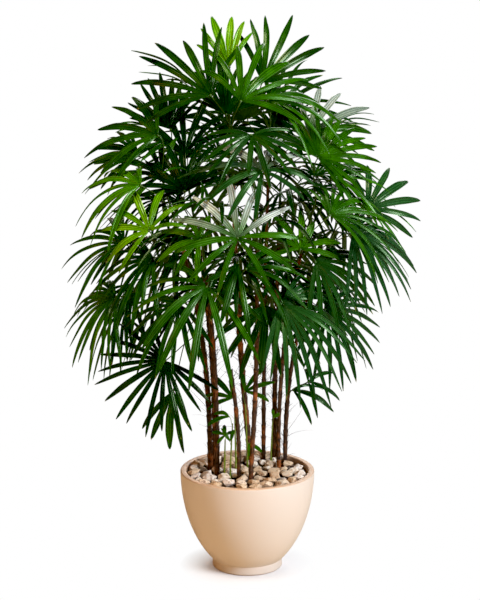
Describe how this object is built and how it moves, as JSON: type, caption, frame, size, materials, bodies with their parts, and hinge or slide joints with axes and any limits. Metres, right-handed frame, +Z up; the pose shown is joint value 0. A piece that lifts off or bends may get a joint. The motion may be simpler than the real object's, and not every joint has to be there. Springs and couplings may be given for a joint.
{
  "type": "potted lady palm",
  "caption": "Indoor lady palm: a clump of fibrous canes with fan-shaped fronds, in a round tapered pot under pale stone chips.",
  "frame": {"origin": "centre of the pot's flat underside", "axes": "+Z up along the pot's axis, the shown side faces -Y, +X is to the right of that side"},
  "size_m": [1.1177, 0.9439, 1.7207],
  "materials": {
    "pot": "satin",
    "soil": "rough",
    "pebbles": "matte",
    "cane": "rough",
    "leaf": "satin",
    "shoot": "satin"
  },
  "bodies": {
    "root": {"pot": "pot", "soil": "soil", "pebbles": "pebbles", "cane_01": "cane", "cane_02": "cane", "cane_03": "cane", "cane_04": "cane", "cane_05": "cane", "cane_06": "cane", "cane_07": "cane", "cane_08": "cane", "cane_09": "cane", "cane_10_broken": "cane", "cane_11_stub": "cane", "crown_01": "leaf", "crown_02": "leaf", "crown_03": "leaf", "crown_04": "leaf", "crown_05": "leaf", "crown_06": "leaf", "crown_07": "leaf", "crown_08": "leaf", "crown_09": "leaf", "shoot_01": "shoot", "shoot_02": "shoot", "shoot_03": "shoot", "shoot_04": "shoot", "shoot_05": "shoot"}
  },
  "joints": []
}
